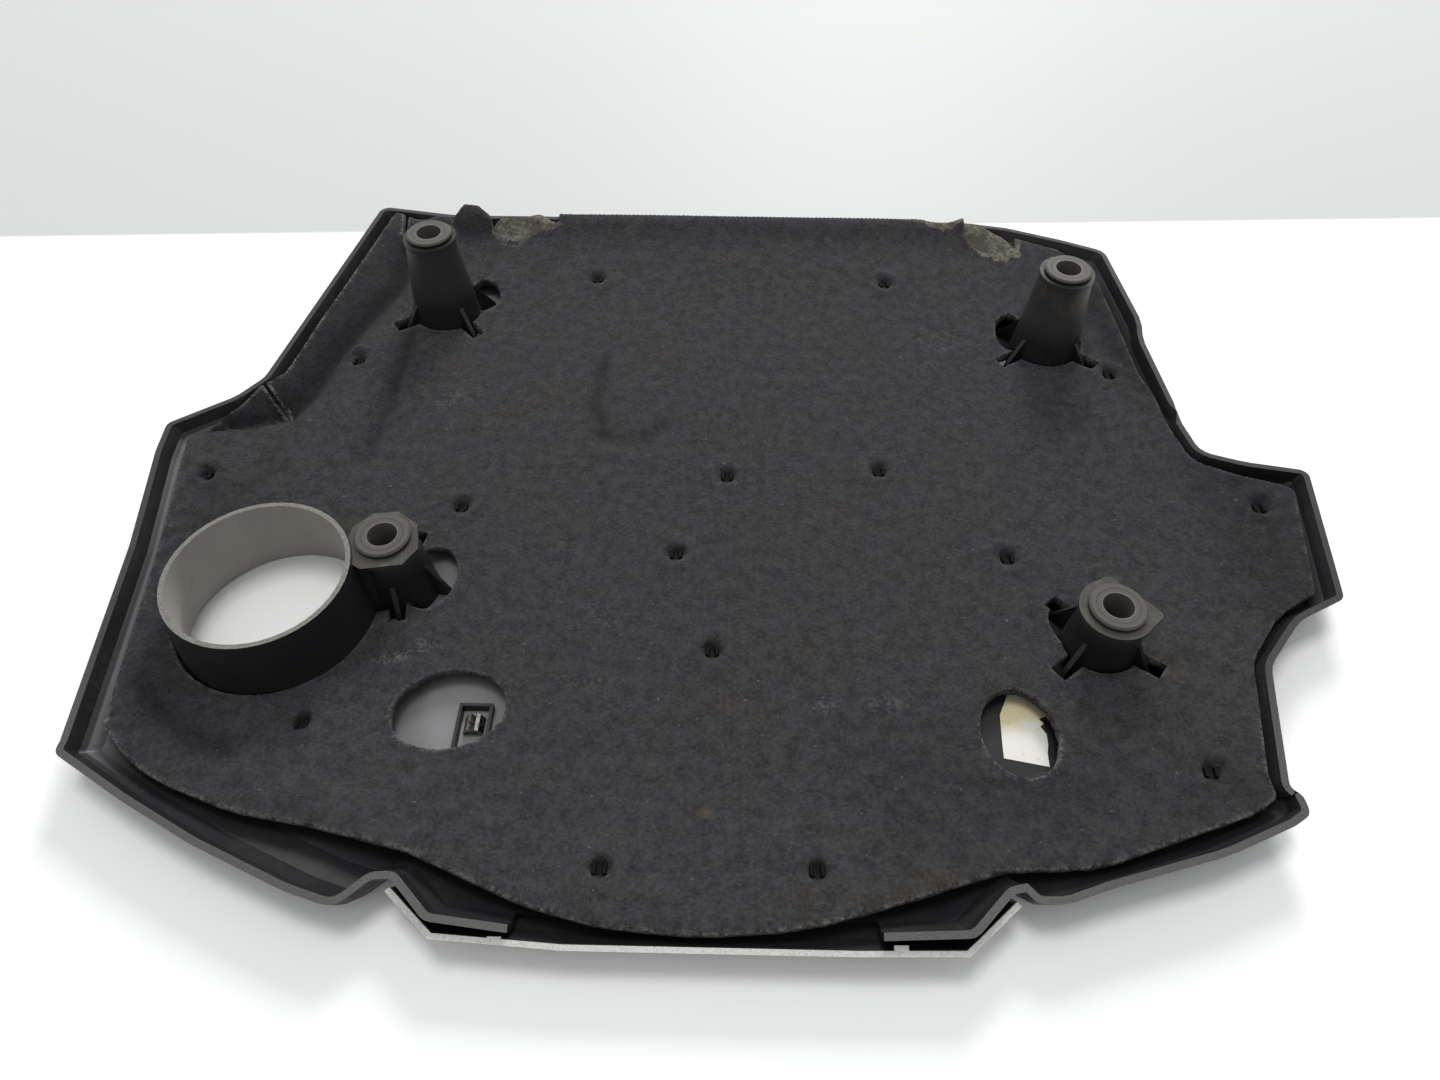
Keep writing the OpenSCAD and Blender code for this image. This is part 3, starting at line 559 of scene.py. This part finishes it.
# pressed felt mat
felt = {
    # mesh, in mm
    "spacing": 2.7,  # between the points of the felt's surface
    "jitter": 0.35,  # share of the spacing by which they are strewn
    "edgeSteps": (0.5, 1.3, 2.3),  # rows of points inside the border
    "edgeCell": 0.8,  # at most one such point in a cell of this size
    "gridGap": 2.9,  # between the border and the other points
    "upwardFrom": 0.25,  # upward share of the normal of the faces that count as upper
    "stepHeight": 0.9,  # where the surface steps by more it has a border
    "seed": 7,
    # surface, in mm
    "waves": ((0.35, 34.0), (0.16, 11.0), (0.07, 4.2)),  # height and size of its unevenness
    "calm": (0.35, 12),  # share of the waves at the border, and where they are whole
    "edgeRound": (1.6, 0.55),  # reach and drop of the rounded edge
    "ring": (8.5, 3.0, 1.2),  # round the prongs: radius, half width, rise
    "dent": (4.0, 0.8),  # at the prongs: half width, depth
    "lapLeft": (-154, 12),  # the rear edge lies on the rim between two ends, each with its run
    "lapRight": (176, 14),
    "lapRear": (196, 24),
    "lapRise": 5.2,
    "lapFloor": (0.85, 22.3),  # share of the lap from which its underside lies on the rim's lip
    "underside": (1, 3),  # least depth of the mat's own underside, and the depth without one
    "thinnest": 1.5,
    "middleHeight": 16,
    "sharpFrom": 50,  # degrees
    # colours
    "fibre": 230.0,
    "blue": (0.0425, 0.043, 0.0495),
    "brown": (0.046, 0.043, 0.041),
    "pale": (0.1, 0.1, 0.098),
    "paleShare": 0.14,
    "lint": (0.3, 0.29, 0.27),
    "pressedEdge": (0.21, 0.2, 0.18),
    "edgeReach": 1.8,  # mm
    "edgeTones": (1.3, 0.9, 0.5),  # on the turned-up panel, along the front, elsewhere
    "panelFrom": (-205, 45),
    "frontFrom": -135,
    "underShare": 0.3,  # of the edge's paleness on the underside
    # painted shade: the felt is darkened in the dent round each prong, where the hole lies in shade
    "pitShade": (0.012, 0.012, 0.013),
    "pitShadeReach": 7.0,  # mm
    "blot": (0.1, 0.085, 0.06),
    "blotShare": 0.7,
    "rub": (0.2, 0.19, 0.175),
    "rubShare": 0.7,
    "foam": (0.2, 0.183, 0.15),
    "foamDark": (0.085, 0.077, 0.062),
    "roughness": 0.95,
    "bump": (0.35, 0.3),
    "specular": 0.05,
    "sheen": (0.06, 0.5),  # weight, roughness
    # soft folds as points, half width, height
    "folds": (
        (((-239, 47), (-232, 64), (-225, 100), (-215, 131), (-205, 160), (-204, 192)), 7.5, -6.0),
        (((-253, 64), (-249, 90), (-241, 118), (-234, 160), (-226, 200), (-219, 224)), 8, 3.6),
        (((-243, 44), (-252, 36), (-269, 33), (-284, 29)), 6, -4.5),
        (((-256, 55), (-266, 50), (-278, 40)), 6, 3.5),
        (((-187, 112), (-187, 73), (-188, 40), (-190, 15)), 5, -2.2),
        (((-202, 112), (-202, 60), (-204, 20)), 9, 0.9),
        (((-188, 219), (-170, 223), (-151, 216)), 9.5, 6.0),
        (((-146, 212), (-126, 214)), 7, 4.0),
        (((150, 213), (170, 206)), 8, 4.0),
        (((-72, 96), (-74, 60), (-68, 38)), 4.5, -1.8),
        (((-64, 96), (-66, 62)), 4, 0.7),
        (((-68, 34), (-46, 27), (-35, 44)), 5, -2.0),
        (((-60, 22), (-38, 18)), 5, 0.7),
        (((-176, -60), (-160, -80)), 4, -1.2),
        (((226, 178), (228, 150), (232, 105), (242, 50)), 7, 2.2),
        (((212, 170), (216, 130), (222, 95)), 8, -2.0),
        (((-254, -129), (-228, -145), (-205, -158)), 6, -1.4),
        (((-262, -95), (-256, -125)), 7, 1.2),
        (((209, 37), (164, -80)), 12, 0.8),
        (((120, 150), (205, 60)), 14, 0.7),
        (((-228, -30), (-238, -110)), 14, 0.8),
        (((-240, -165), (-205, -178), (-150, -196)), 7, -1.2),
        (((-228, -152), (-190, -170), (-140, -182)), 8, 1.0),
        (((-60, -160), (40, -165), (120, -140)), 18, -0.9)),
    # where the felt's edge lies elsewhere than the plain cut: points, reach, shift
    "shifts": (
        (((-286, 15), (-270, -90), (-258, -145)), 14, (5.0, 2.0)),
        (((227, 190), (231, 140), (238, 85)), 15, (-5.5, 0.0)),
        (((-118, 221), (118, 221)), 10, (0.0, 4.4)),
        (((-146, 212), (-126, 214)), 7, (0.0, 8.0)),
        (((148, 214), (172, 206)), 8, (1.0, 7.0)),
        (((-116, -137), (-114, -137)), 55, (-2.3, 4.2))),
    # lines and places where shade is painted: the felt is darkened along the fold valleys, on the
    # turned-up panel and in broad bands near the edges, as points, reach, strength
    "shades": (
        (((-239, 47), (-232, 64), (-225, 100), (-215, 131), (-205, 160), (-204, 192)), 9, 0.6),
        (((-246, 62), (-236, 110), (-222, 165), (-212, 205)), 12, 0.3),
        (((-243, 44), (-256, 37), (-284, 30)), 7, 0.5),
        (((-260, 46), (-250, 50)), 12, 0.3),
        (((-187, 112), (-187, 73), (-188, 40), (-190, 15)), 4, 0.35),
        (((-73, 94), (-74, 60), (-68, 38)), 4, 0.32),
        (((-68, 34), (-46, 27), (-35, 44)), 5, 0.16),
        (((-176, -60), (-160, -80)), 4, 0.3),
        (((-254, -129), (-228, -145), (-205, -158)), 5, 0.35),
        (((220, 165), (236, 100), (262, 30), (262, -70)), 28, 0.3),
        (((80, -170), (200, -165)), 30, 0.18),
        (((-250, -20), (-245, -120)), 26, 0.25)),
    # stains and scuffs as x, y, half width, half depth, turn, strength
    "stains": (
        (-6, -179, 7, 5, 0, 1.0), (18, 163, 70, 30, 10, 0.4), (-100, 46, 45, 30, 0, 0.35),
        (-240, 10, 25, 30, 0, 0.35), (190, -120, 45, 40, 0, 0.4), (60, -215, 60, 12, 0, 0.4)),
    "scuffs": (
        (-143, -109, 15, 3.5, 14, 1.0), (-132, -103, 9, 2, -20, 0.8), (-61, -119, 14, 2.5, 0, 0.5),
        (71, -127, 13, 3, 0, 0.5), (45, -127, 6, 4, 0, 0.45), (-56, -84, 12, 5, -25, 0.4),
        (-78, -40, 5, 5, 0, 0.4), (118, 118, 16, 12, 0, 0.25), (-152, 62, 18, 6, 20, 0.25)),
    # patches worn down to the foam, as outline, share worn off
    "worn": (
        ([(-154, 207), (-146, 202), (-132, 204), (-118, 208), (-108, 214), (-118, 219),
          (-154, 219)], 0.86),
        ([(128, 229), (132, 217), (146, 214), (150, 203), (160, 195), (173, 190), (183, 196),
          (186, 229)], 1.0),
        ([(100, 221), (118, 218), (140, 213), (150, 213), (150, 230), (100, 230)], 0.84)),
}


def unit(value):
    return max(0.0, min(1.0, value))


def ovalShare(place, oval):
    x, y, halfWidth, halfDepth, turn, strength = oval
    local = Vector((place[0] - x, place[1] - y))
    local.rotate(Matrix.Rotation(math.radians(-turn), 2))
    away = math.hypot(local.x / halfWidth, local.y / halfDepth)
    return strength * max(0.0, 1.0 - away) ** 0.6


def insideOutline(place, outline):
    inside = False
    for a, b in zip(outline, outline[1:] + outline[:1]):
        if (a[1] > place[1]) != (b[1] > place[1]):
            if place[0] < (b[0] - a[0]) * (place[1] - a[1]) / (b[1] - a[1]) + a[0]:
                inside = not inside
    return inside


def awayFromLine(place, corners):
    nearest = math.inf
    for a, b in zip(corners, corners[1:]):
        a, b = Vector(a), Vector(b)
        share = unit((place - a).dot(b - a) / (b - a).length_squared)
        nearest = min(nearest, (place - a.lerp(b, share)).length)
    return nearest


def foldRise(place, fold):
    corners, width, height = fold
    return height * math.exp(-(awayFromLine(place, corners) / width) ** 2)


def edgeShift(place, settings):
    shift = Vector((0.0, 0.0))
    for corners, reach, move in settings["shifts"]:
        shift += Vector(move) * math.exp(-(awayFromLine(place, corners) / reach) ** 2)
    return shift


def lapShare(place, settings):
    # the rear edge rises and lies on the rim's lip
    left, leftRun = settings["lapLeft"]
    right, rightRun = settings["lapRight"]
    rear, rearRun = settings["lapRear"]
    across = unit((place.x - left) / leftRun) * unit((right - place.x) / rightRun)
    return across * unit((place.y - rear) / rearRun) ** 2


def edgeTone(place, settings):
    panel, front, plain = settings["edgeTones"]
    if place.x < settings["panelFrom"][0] and place.y > settings["panelFrom"][1]:
        return panel
    return front if place.y < settings["frontFrom"] else plain


def shadeAt(place, settings):
    left = 1.0
    for corners, reach, strength in settings["shades"]:
        left *= 1.0 - strength * math.exp(-(awayFromLine(place, corners) / reach) ** 2)
    return 1.0 - left


def castDown(surface, x, y):
    return surface.ray_cast(Vector((x, y, 0.2)), Vector((0, 0, -1)))[0]


def isBorder(upper, a, b, settings):
    # the felt stops or steps at one side of the segment
    middle = (Vector(a) + Vector(b)) / 2
    across = Vector((a[1] - b[1], b[0] - a[0])).normalized() * 0.5 * mm
    levels = []
    for spot in (middle + across, middle - across):
        hit = castDown(upper, spot.x, spot.y)
        if hit is None:
            return True
        levels.append(hit.z)
    return abs(levels[0] - levels[1]) > settings["stepHeight"] * mm


def readMat(solid, settings):
    # the solid's faces to cast on, and the segments where its upper surface ends
    mesh = solid.data
    mesh.calc_loop_triangles()
    corners = [v.co.copy() for v in mesh.vertices]
    triangles = [tuple(t.vertices) for t in mesh.loop_triangles]
    upward = [t for t in triangles
              if geometry.normal([corners[i] for i in t]).z > settings["upwardFrom"]]
    whole = BVHTree.FromPolygons(corners, triangles)
    upper = BVHTree.FromPolygons(corners, upward)
    used = {}
    for t in upward:
        for i in range(3):
            a, b = (tuple(round(c, 5) for c in corners[t[k]]) for k in (i, (i + 1) % 3))
            key = (min(a, b), max(a, b))
            used[key] = used.get(key, 0) + 1
    rims = {tuple(sorted((a[:2], b[:2]))) for (a, b), count in used.items()
            if count == 1 and a[:2] != b[:2]}
    rims = {pair for pair in rims if isBorder(upper, *pair, settings)}
    print("felt: border segments", len(rims))
    return whole, upper, rims


def spreadPoints(whole, rims, settings):
    # points along the border, rows of them just inside it, and a loose grid over the rest
    points, index, edges = [], {}, []

    def pointAt(p):
        key = (round(p[0], 5), round(p[1], 5))
        if key not in index:
            index[key] = len(points)
            points.append(Vector(key))
        return index[key]

    step = settings["spacing"] * mm
    for a, b in sorted(rims):
        a, b = Vector(a), Vector(b)
        cuts = max(1, round((b - a).length / step))
        chain = [pointAt(a.lerp(b, i / cuts)) for i in range(cuts + 1)]
        edges += [(p, q) for p, q in zip(chain, chain[1:]) if p != q]
    border = kdtree.KDTree(len(points))
    for i, p in enumerate(points):
        border.insert((p.x, p.y, 0), i)
    border.balance()

    chance = random.Random(settings["seed"])
    taken = set()
    cell = settings["edgeCell"] * mm
    for p in list(points):
        for reach in settings["edgeSteps"]:
            for k in range(8):
                angle = k * math.pi / 4 + chance.random() * 0.4
                q = p + Vector((math.cos(angle), math.sin(angle))) * reach * mm
                near = border.find((q.x, q.y, 0))[2]
                spot = (round(q.x / cell), round(q.y / cell))
                clear = spot not in taken and near > reach * mm * 0.8
                if clear and castDown(whole, q.x, q.y) is not None:
                    taken.add(spot)
                    pointAt(q)
    low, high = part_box("insulation_mat")
    row = 0
    y = low.y
    while y < high.y:
        x = low.x + (row % 2) * step / 2
        while x < high.x:
            px = x + (chance.random() - 0.5) * step * settings["jitter"]
            py = y + (chance.random() - 0.5) * step * settings["jitter"]
            clear = border.find((px, py, 0))[2] > settings["gridGap"] * mm
            if clear and castDown(whole, px, py) is not None:
                pointAt((px, py))
            x += step
        y += step * 0.866  # rows of a triangular grid
        row += 1
    print("felt: points", len(points))
    return points, edges, border


def liftPoints(flat, whole, upper, border, settings):
    # heights of the surface and of the underside, and how pale the cut edge is
    heights, floors, paleness = [], [], []
    roundReach, roundDrop = settings["edgeRound"]
    calmShare, calmReach = settings["calm"]
    ringRadius, ringWidth, ringRise = settings["ring"]
    dentWidth, dentDepth = settings["dent"]
    lapFrom, lapFloor = settings["lapFloor"]
    leastDepth, plainDepth = settings["underside"]
    for p in flat:
        hit = castDown(upper, p.x, p.y)
        if hit is None:
            hit = upper.find_nearest(Vector((p.x, p.y, settings["middleHeight"] * mm)))[0]
        away = border.find((p.x, p.y, 0))[2]
        place = Vector((p.x, p.y, 0))
        rise = sum(height * mm * noise.noise(place / (size * mm))
                   for height, size in settings["waves"])
        rise *= min(1.0, calmShare + away / (calmReach * mm))
        spot = Vector((p.x, p.y)) / mm
        rise += mm * sum(foldRise(spot, fold) for fold in settings["folds"])
        near = min((spot - Vector(prong)).length for prong in prongPlaces)
        rise += ringRise * mm * math.exp(-((near - ringRadius) / ringWidth) ** 2)
        rise -= dentDepth * mm * math.exp(-(near / dentWidth) ** 2)
        lap = lapShare(spot + edgeShift(spot, settings), settings)
        rise += settings["lapRise"] * mm * lap
        share = max(0.0, 1.0 - away / (roundReach * mm))
        heights.append(hit.z + rise - roundDrop * mm * share ** 2)
        under = whole.ray_cast(Vector((p.x, p.y, -0.01)), Vector((0, 0, 1)))[0]
        floor = hit.z - plainDepth * mm
        if under is not None and under.z < hit.z - leastDepth * mm:
            floor = under.z
        floors.append(max(floor, lapFloor * mm) if lap > lapFrom else floor)
        pale = max(0.0, 1.0 - away / (settings["edgeReach"] * mm))
        paleness.append(pale * edgeTone(spot, settings))
    return heights, floors, paleness


paintedNames = ("pressedEdge", "bareFoam", "stain", "scuff", "paintedShade", "pinned")


def paintFelt(mesh, places, paleness, settings):
    # values that the material reads at each point, on the surface and then on the underside
    painted = {name: [] for name in paintedNames}
    for place, pale in zip(places, paleness):
        painted["pressedEdge"].append(pale)
        painted["bareFoam"].append(
            max(share * insideOutline(place, outline) for outline, share in settings["worn"]))
        for name, ovals in (("stain", settings["stains"]), ("scuff", settings["scuffs"])):
            painted[name].append(max(ovalShare(place, oval) for oval in ovals))
        # painted shade along the fold valleys, on the turned-up panel and in broad bands near the
        # edges
        painted["paintedShade"].append(shadeAt(Vector(place), settings))
        # how near the prong is, for the painted shade in its dent
        near = min(math.dist(place, prong) for prong in prongPlaces)
        painted["pinned"].append(max(0.0, 1.0 - near / settings["pitShadeReach"]))
    for name, values in painted.items():
        share = settings["underShare"] if name == "pressedEdge" else 0.0
        under = [value * share for value in values]
        mesh.attributes.new(name, "FLOAT", "POINT").data.foreach_set("value", values + under)


def makeFeltPiece(settings):
    whole, upper, rims = readMat(nodes["insulation_mat"], settings)
    points, edges, border = spreadPoints(whole, rims, settings)
    flat, cutEdges, cutFaces = geometry.delaunay_2d_cdt(points, edges, [], 0, 1e-6)[:3]
    faces = []
    for face in cutFaces:
        middle = sum((flat[i] for i in face), Vector((0, 0))) / len(face)
        if castDown(whole, middle.x, middle.y) is not None:
            faces.append(tuple(face))
    print("felt: upper faces", len(faces))
    heights, floors, paleness = liftPoints(flat, whole, upper, border, settings)

    moved = [p + edgeShift(p / mm, settings) * mm for p in flat]
    used = sorted({i for f in faces for i in f})
    order = {i: k for k, i in enumerate(used)}
    count = len(used)
    thinnest = settings["thinnest"] * mm
    corners = [(moved[i].x, moved[i].y, heights[i]) for i in used]
    corners += [(moved[i].x, moved[i].y, min(floors[i], heights[i] - thinnest)) for i in used]
    borders = {}
    polygons = []
    for f in faces:
        f = tuple(order[i] for i in f)
        polygons.append(f)
        polygons.append(tuple(i + count for i in reversed(f)))
        for a, b in zip(f, f[1:] + f[:1]):
            if (b, a) in borders:
                del borders[(b, a)]
            else:
                borders[(a, b)] = True
    polygons += [(b, a, a + count, b + count) for a, b in borders]
    mesh = bpy.data.meshes.new("felt_mat")
    mesh.from_pydata(corners, [], polygons)
    mesh.validate()
    mesh.update()
    places = [(flat[i].x / mm, flat[i].y / mm) for i in used]
    paintFelt(mesh, places, [paleness[i] for i in used], settings)
    mesh.polygons.foreach_set("use_smooth", [True] * len(mesh.polygons))
    mesh.set_sharp_from_angle(angle=math.radians(settings["sharpFrom"]))
    piece = bpy.data.objects.new("felt_mat", mesh)
    scene.collection.objects.link(piece)
    print("felt: triangles", sum(len(p.vertices) - 2 for p in mesh.polygons))
    return piece


def makeFeltMaterial(look):
    material, tree = startMaterial("pressedFelt")
    coords = partsOf(tree)[0]
    fibre = useGroup(tree, feltFibre, coords, Scale=look["fibre"])
    tone, mottle = fibre["Tone"], fibre["Mottle"]
    painted = {}
    for name in paintedNames:
        painted[name] = put(tree, "Attribute", attribute_name=name).outputs["Fac"]
    brown = plus(tree, fade(tree, mottle, 0.38, 0.72), painted["stain"])
    colour = blendColour(tree, brown, look["blue"], look["brown"])
    strands = times(tree, fibre["Fibre"], look["paleShare"])
    colour = blendColour(tree, strands, colour, look["pale"])
    # painted shade: the felt's colour is darkened where the painted shade lies
    colour = scaled(tree, colour, times(tree, tone, minus(tree, 1.0, painted["paintedShade"])))
    edge = times(tree, painted["pressedEdge"], fade(tree, tone, 0.75, 1.35))
    colour = blendColour(tree, edge, colour, look["pressedEdge"])
    blot = times(tree, fade(tree, painted["stain"], 0.45, 1.0), fade(tree, mottle, 0.3, 0.6))
    colour = blendColour(tree, times(tree, blot, look["blotShare"]), colour, look["blot"])
    rub = times(tree, painted["scuff"], fade(tree, tone, 0.88, 1.3))
    colour = blendColour(tree, times(tree, rub, look["rubShare"]), colour, look["rub"])
    # painted shade in the dent round each prong
    colour = blendColour(tree, fade(tree, painted["pinned"], 0.1, 0.7), colour, look["pitShade"])
    lint = times(tree, fibre["Speck"], plus(tree, 0.3, painted["scuff"]))
    colour = blendColour(tree, lint, colour, look["lint"])
    ragged = minus(tree, blotches(tree, coords, 75.0, 7.0, 0.75), 0.5)
    bare = fade(tree, plus(tree, painted["bareFoam"], ragged), 0.66, 0.8)
    pores = fade(tree, blotches(tree, coords, 420.0, 5.0, 0.75), 0.38, 0.62)
    grimy = fade(tree, blotches(tree, coords, 120.0, 4.0, 0.6), 0.45, 0.6)
    crumbs = blendColour(tree, pores, look["foamDark"], look["foam"])
    foam = blendColour(tree, grimy, crumbs, look["foamDark"])
    colour = blendColour(tree, bare, colour, foam)
    sheen, sheenRoughness = look["sheen"]
    finishMaterial(tree, colour, look["roughness"], fibre["Height"], look["bump"],
                   Sheen_Weight=sheen, Sheen_Roughness=sheenRoughness,
                   Specular_IOR_Level=look["specular"])
    return material


shellPlastic = makeShellPlastic(shellLook)
trimSilver = makeTrimSilver(trimLook)
rubber = makeRubber(rubberLook)
finishes = {
    "cover_shell": shellPlastic,
    "front_trim": trimSilver,
    "spring_clip": makeClipSteel(clipLook),
    "paper_label": makePaper(paperLook),
}
for name in ("rear_left", "rear_right", "front_left", "front_right"):
    finishes["grommet_" + name] = rubber
for name, material in finishes.items():
    node = nodes[name]
    node.data.materials.clear()
    node.data.materials.append(material)
print("materials on the solids")

feltPiece = makeFeltPiece(felt)
feltPiece.data.materials.append(makeFeltMaterial(felt))
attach(feltPiece, "root")
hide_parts("insulation_mat")
print("felt mat done")

# table and light
studio = {
    "floorSize": 6.0,  # metres
    "roughness": 0.5,
    "specular": 0.1,
    "floor": (0.8, 0.805, 0.81),
    "seenFloor": (1.15, 1.15, 1.145),  # what the camera sees: a white table
    "seenWall": (0.67, 0.68, 0.665),  # and a slightly darker wall behind its joint
    "wallLine": 249.0,  # mm
    "wallTurn": 0.05,
    "wallEdge": (0, 5),
    "wallEnd": (600, 900),  # it fades into the white here
    "sky": (0.97, 0.985, 1.0),
    "low": 0.2,  # light from the horizon
    "high": 0.5,  # light from overhead
    "lamps": (  # place, energy, size
        ((-0.2, 0.3, 3.0), 25.0, 0.9),
        ((0.4, 2.85, 2.0), 72.0, 1.1),
    ),
}


def makeTable(settings):
    half = settings["floorSize"] / 2
    mesh = bpy.data.meshes.new("table")
    corners = [(-half, -half, 0), (half, -half, 0), (half, half, 0), (-half, half, 0)]
    mesh.from_pydata(corners, [], [(0, 1, 2, 3)])
    table = bpy.data.objects.new("table", mesh)
    scene.collection.objects.link(table)
    material, tree = startMaterial("tableTop")
    coords, x, y, z, up = partsOf(tree)
    rear = minus(tree, minus(tree, y, settings["wallLine"] * mm),
                 times(tree, x, settings["wallTurn"]))
    wall = times(tree, fadeAt(tree, rear, settings["wallEdge"]),
                 fadeAt(tree, rear, settings["wallEnd"], flip=True))
    seen = blendColour(tree, wall, settings["seenFloor"], settings["seenWall"])
    path = put(tree, "LightPath")
    colour = blendColour(tree, path.outputs["Is Camera Ray"], settings["floor"], seen)
    finishMaterial(tree, colour, settings["roughness"], Specular_IOR_Level=settings["specular"])
    mesh.materials.append(material)


def makeLight(settings):
    world = bpy.data.worlds.new("studio")
    world.use_nodes = True
    scene.world = world
    tree = world.node_tree
    tree.nodes.clear()
    split = put(tree, "SeparateXYZ")
    feed(tree, put(tree, "TexCoord").outputs["Generated"], split.inputs[0])
    overhead = larger(tree, split.outputs[2], 0.0)
    overhead = times(tree, overhead, overhead)
    soft = put(tree, "Background")
    soft.inputs["Color"].default_value = (*settings["sky"], 1.0)
    strength = plus(tree, settings["low"], times(tree, overhead, settings["high"]))
    feed(tree, strength, soft.inputs["Strength"])
    white = put(tree, "Background")
    white.inputs["Color"].default_value = (1.0, 1.0, 1.0, 1.0)
    path = put(tree, "LightPath")
    seen = larger(tree, path.outputs["Is Camera Ray"], path.outputs["Is Glossy Ray"])
    mixer = put(tree, "MixShader")
    feed(tree, seen, mixer.inputs[0])
    feed(tree, soft.outputs[0], mixer.inputs[1])
    feed(tree, white.outputs[0], mixer.inputs[2])
    feed(tree, mixer.outputs[0], put(tree, "OutputWorld").inputs["Surface"])
    for place, energy, size in settings["lamps"]:
        data = bpy.data.lights.new("softLamp", "AREA")
        data.energy = energy
        data.size = size
        lamp = bpy.data.objects.new("softLamp", data)
        lamp.location = place
        lamp.rotation_euler = (-Vector(place)).to_track_quat("-Z", "Y").to_euler()
        scene.collection.objects.link(lamp)


makeTable(studio)
makeLight(studio)
scene.view_settings.view_transform = "Standard"
print("table and light in place")
